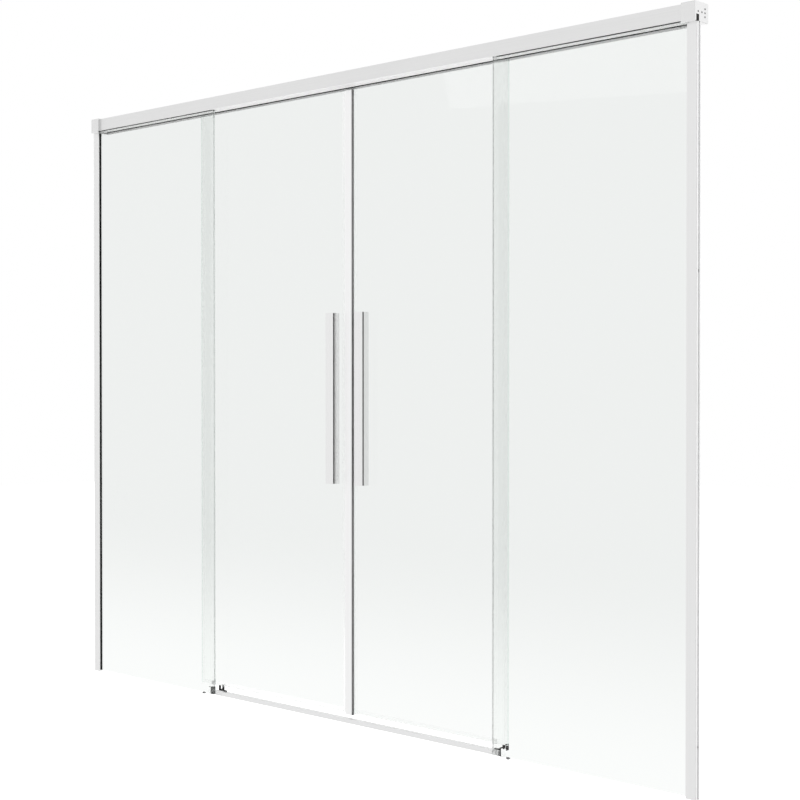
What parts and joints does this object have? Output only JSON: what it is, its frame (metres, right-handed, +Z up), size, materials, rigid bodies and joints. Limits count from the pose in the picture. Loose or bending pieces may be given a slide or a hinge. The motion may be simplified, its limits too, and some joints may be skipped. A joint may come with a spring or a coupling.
{
  "type": "sliding bath screen",
  "caption": "Straight glass bath screen: fixed end panes, sliding doors that part in the middle, header rail, wall profiles, bar handles and a low threshold.",
  "frame": {"origin": "middle of the base, under the middle of the header's depth", "axes": "+X to the right along the screen, +Y from the room to the bath side, +Z up"},
  "size_m": [1.78, 0.042, 1.4],
  "materials": {
    "clear_glass": "clear, slightly green, polished",
    "clear_plastic": "clear soft extrusion",
    "white_plastic": "moulded, satin",
    "grey_plastic": "moulded, satin",
    "black_brush": "dense pile",
    "black_rubber": "matt extrusion",
    "black_plastic": "moulded, satin",
    "steel": "machined",
    "bracket_metal": "bright, plated",
    "handle_metal": "bright anodised",
    "rail_metal": "bright anodised extrusion"
  },
  "bodies": {
    "frame": {"base_seals": "clear_plastic", "black_feet": "black_rubber", "black_pads": "black_rubber", "bracket_screws": "steel", "carrier_blocks": "white_plastic", "end_bracket_left": "bracket_metal", "end_bracket_right": "bracket_metal", "end_plate_left": "bracket_metal", "end_plate_right": "bracket_metal", "fixed_edge_seal_left": "clear_plastic", "fixed_edge_seal_right": "clear_plastic", "fixed_glass_left": "clear_glass", "fixed_glass_right": "clear_glass", "header_brush": "black_brush", "header_cover": "white_plastic", "header_front_gaskets": "black_rubber", "header_rail": "rail_metal", "header_rear_gaskets": "clear_plastic", "left_door_guide": "black_plastic", "left_track_stop": "black_rubber", "right_door_guide": "black_plastic", "right_track_stop": "black_rubber", "threshold_caps": "grey_plastic", "threshold_end_seals": "clear_plastic", "threshold_strip": "rail_metal", "wall_gasket_left": "black_rubber", "wall_gasket_right": "black_rubber", "wall_profile_left": "rail_metal", "wall_profile_right": "rail_metal", "wall_tapes": "white_plastic"},
    "door_left": {"left_axles": "steel", "left_carriage_screws": "steel", "left_carriages": "steel", "left_closing_clamps": "clear_plastic", "left_closing_magnet": "black_plastic", "left_closing_profile": "rail_metal", "left_door_glass": "clear_glass", "left_drip_seal": "clear_plastic", "left_handle_body": "handle_metal", "left_handle_inlay": "black_plastic", "left_handle_plate": "handle_metal", "left_handle_screws": "steel", "left_hanger": "rail_metal", "left_outer_seal": "clear_plastic"},
    "door_right": {"right_axles": "steel", "right_carriage_screws": "steel", "right_carriages": "steel", "right_door_glass": "clear_glass", "right_drip_seal": "clear_plastic", "right_handle_body": "handle_metal", "right_handle_inlay": "black_plastic", "right_handle_plate": "handle_metal", "right_handle_screws": "steel", "right_hanger": "rail_metal", "right_meeting_seal": "clear_plastic", "right_outer_seal": "clear_plastic"},
    "wheel_left_inner": {"left_inner_wheel": "grey_plastic"},
    "wheel_left_outer": {"left_outer_wheel": "grey_plastic"},
    "wheel_right_inner": {"right_inner_wheel": "grey_plastic"},
    "wheel_right_outer": {"right_outer_wheel": "grey_plastic"}
  },
  "joints": [
    {"name": "door_left_slide", "type": "slide", "parent": "frame", "child": "door_left", "axis": [-1, 0, 0], "range_m": [0, 0.35]},
    {"name": "wheel_left_inner_spin", "type": "hinge", "parent": "door_left", "child": "wheel_left_inner", "pos_m": [-0.057, 0.00375, 1.3888], "axis": [0, -1, 0], "continuous": true},
    {"name": "wheel_left_outer_spin", "type": "hinge", "parent": "door_left", "child": "wheel_left_outer", "pos_m": [-0.4318, 0.00375, 1.3888], "axis": [0, -1, 0], "continuous": true},
    {"name": "door_right_slide", "type": "slide", "parent": "frame", "child": "door_right", "axis": [1, 0, 0], "range_m": [0, 0.35]},
    {"name": "wheel_right_inner_spin", "type": "hinge", "parent": "door_right", "child": "wheel_right_inner", "pos_m": [0.0795, 0.00375, 1.3888], "axis": [0, 1, 0], "continuous": true},
    {"name": "wheel_right_outer_spin", "type": "hinge", "parent": "door_right", "child": "wheel_right_outer", "pos_m": [0.3843, 0.00375, 1.3888], "axis": [0, 1, 0], "continuous": true}
  ],
  "couplings": [
    {"joint": "wheel_left_inner_spin", "follows": "door_left_slide", "rad_per_m": 142.86},
    {"joint": "wheel_left_outer_spin", "follows": "door_left_slide", "rad_per_m": 142.86},
    {"joint": "wheel_right_inner_spin", "follows": "door_right_slide", "rad_per_m": 142.86},
    {"joint": "wheel_right_outer_spin", "follows": "door_right_slide", "rad_per_m": 142.86}
  ]
}
